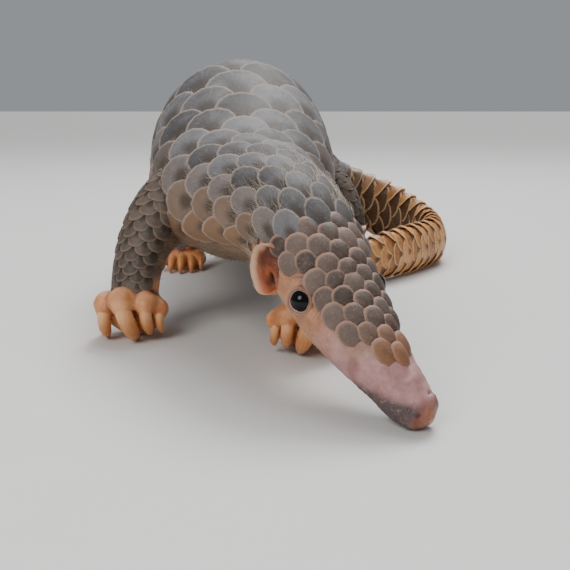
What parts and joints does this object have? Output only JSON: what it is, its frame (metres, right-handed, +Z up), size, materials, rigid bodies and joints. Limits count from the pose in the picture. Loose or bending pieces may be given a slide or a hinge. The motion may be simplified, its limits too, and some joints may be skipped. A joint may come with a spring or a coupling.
{
  "type": "pangolin",
  "caption": "Life-size scaly anteater in a still pose, standing with its nose to the ground and its tail curled round on edge beside it.",
  "frame": {"origin": "middle of the bounding box in X and Y, on the floor", "axes": "+Z up; the body runs along Y with the head at -Y; the animal's left side is +X"},
  "size_m": [0.2236, 0.43, 0.1478],
  "materials": {
    "back_scales": "matt horn, grey-brown, dusty",
    "head_scales": "matt horn, grey-brown",
    "tail_scales": "satin horn, amber-brown",
    "leg_scales": "matt horn, dark grey-brown",
    "skin": "bare skin, matt",
    "claw": "smooth horn, pale orange",
    "eye": "wet and glossy"
  },
  "bodies": {
    "root": {"claw_fore_left_1": "claw", "claw_fore_left_2": "claw", "claw_fore_left_3": "claw", "claw_fore_left_4": "claw", "claw_fore_left_5": "claw", "claw_fore_right_1": "claw", "claw_fore_right_2": "claw", "claw_fore_right_3": "claw", "claw_fore_right_4": "claw", "claw_fore_right_5": "claw", "claw_hind_left_1": "claw", "claw_hind_left_2": "claw", "claw_hind_left_3": "claw", "claw_hind_left_4": "claw", "claw_hind_left_5": "claw", "claw_hind_right_1": "claw", "claw_hind_right_2": "claw", "claw_hind_right_3": "claw", "claw_hind_right_4": "claw", "claw_hind_right_5": "claw", "ear_left": "skin", "ear_right": "skin", "eye_left": "eye", "eye_right": "eye", "forefoot_left": "skin", "forefoot_right": "skin", "foreleg_left": "leg_scales", "foreleg_right": "leg_scales", "head": "head_scales", "hindfoot_left": "skin", "hindfoot_right": "skin", "hindleg_left": "leg_scales", "hindleg_right": "leg_scales", "neck": "back_scales", "tail_1": "tail_scales", "tail_2": "tail_scales", "tail_3": "tail_scales", "tail_4": "tail_scales", "tail_5": "tail_scales", "tail_6": "tail_scales", "torso": "back_scales"}
  },
  "joints": []
}
